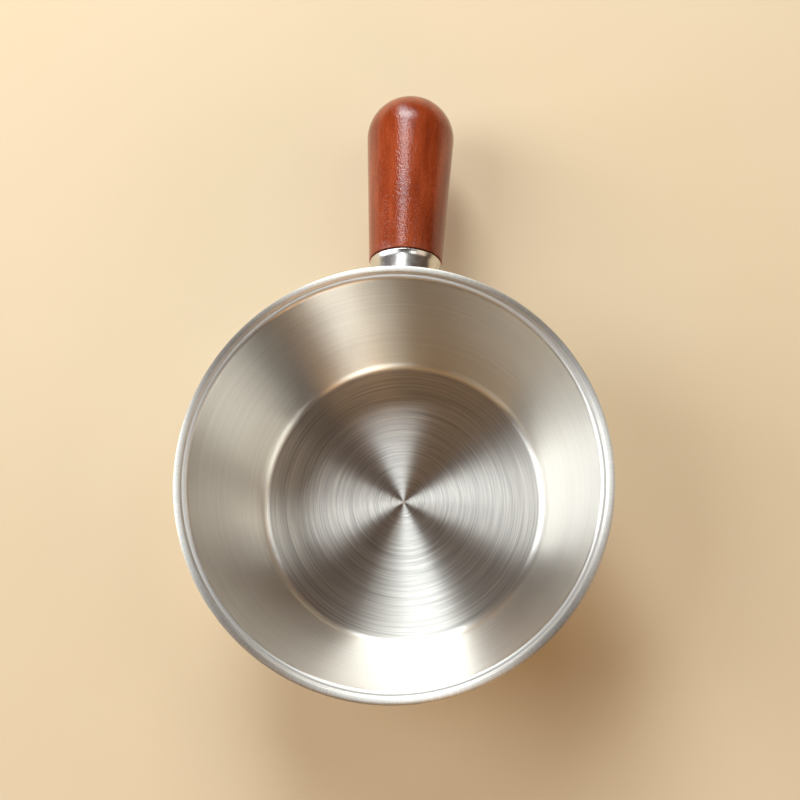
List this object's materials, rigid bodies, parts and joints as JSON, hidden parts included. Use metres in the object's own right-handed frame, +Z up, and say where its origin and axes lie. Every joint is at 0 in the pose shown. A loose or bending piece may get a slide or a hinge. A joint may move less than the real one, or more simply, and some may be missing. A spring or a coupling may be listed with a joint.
{
  "type": "milk pan",
  "caption": "Round stainless steel milk pan with a flared wall, curled rim, layered flat base and a turned wooden handle on a polished steel ferrule.",
  "frame": {"origin": "centre of the flat base underside, on the bowl's axis", "axes": "+Z up through the mouth, +Y towards the end of the handle, +X to the side"},
  "size_m": [0.17, 0.2649, 0.0813],
  "materials": {
    "brushed_steel": "circular brushed",
    "aluminium": "plain",
    "satin_steel": "satin, turned",
    "polished_steel": "mirror polished",
    "plain_steel": "plain",
    "dark_fibre": "matte",
    "brass": "machined",
    "varnished_wood": "satin varnish"
  },
  "bodies": {
    "root": {"pan_body": "brushed_steel", "base_core": "aluminium", "base_cap": "satin_steel", "ferrule": "polished_steel", "weld_nut": "plain_steel", "tie_stud": "plain_steel", "seal_ring": "dark_fibre", "insert_nut": "brass", "handle_grip": "varnished_wood"}
  },
  "joints": []
}
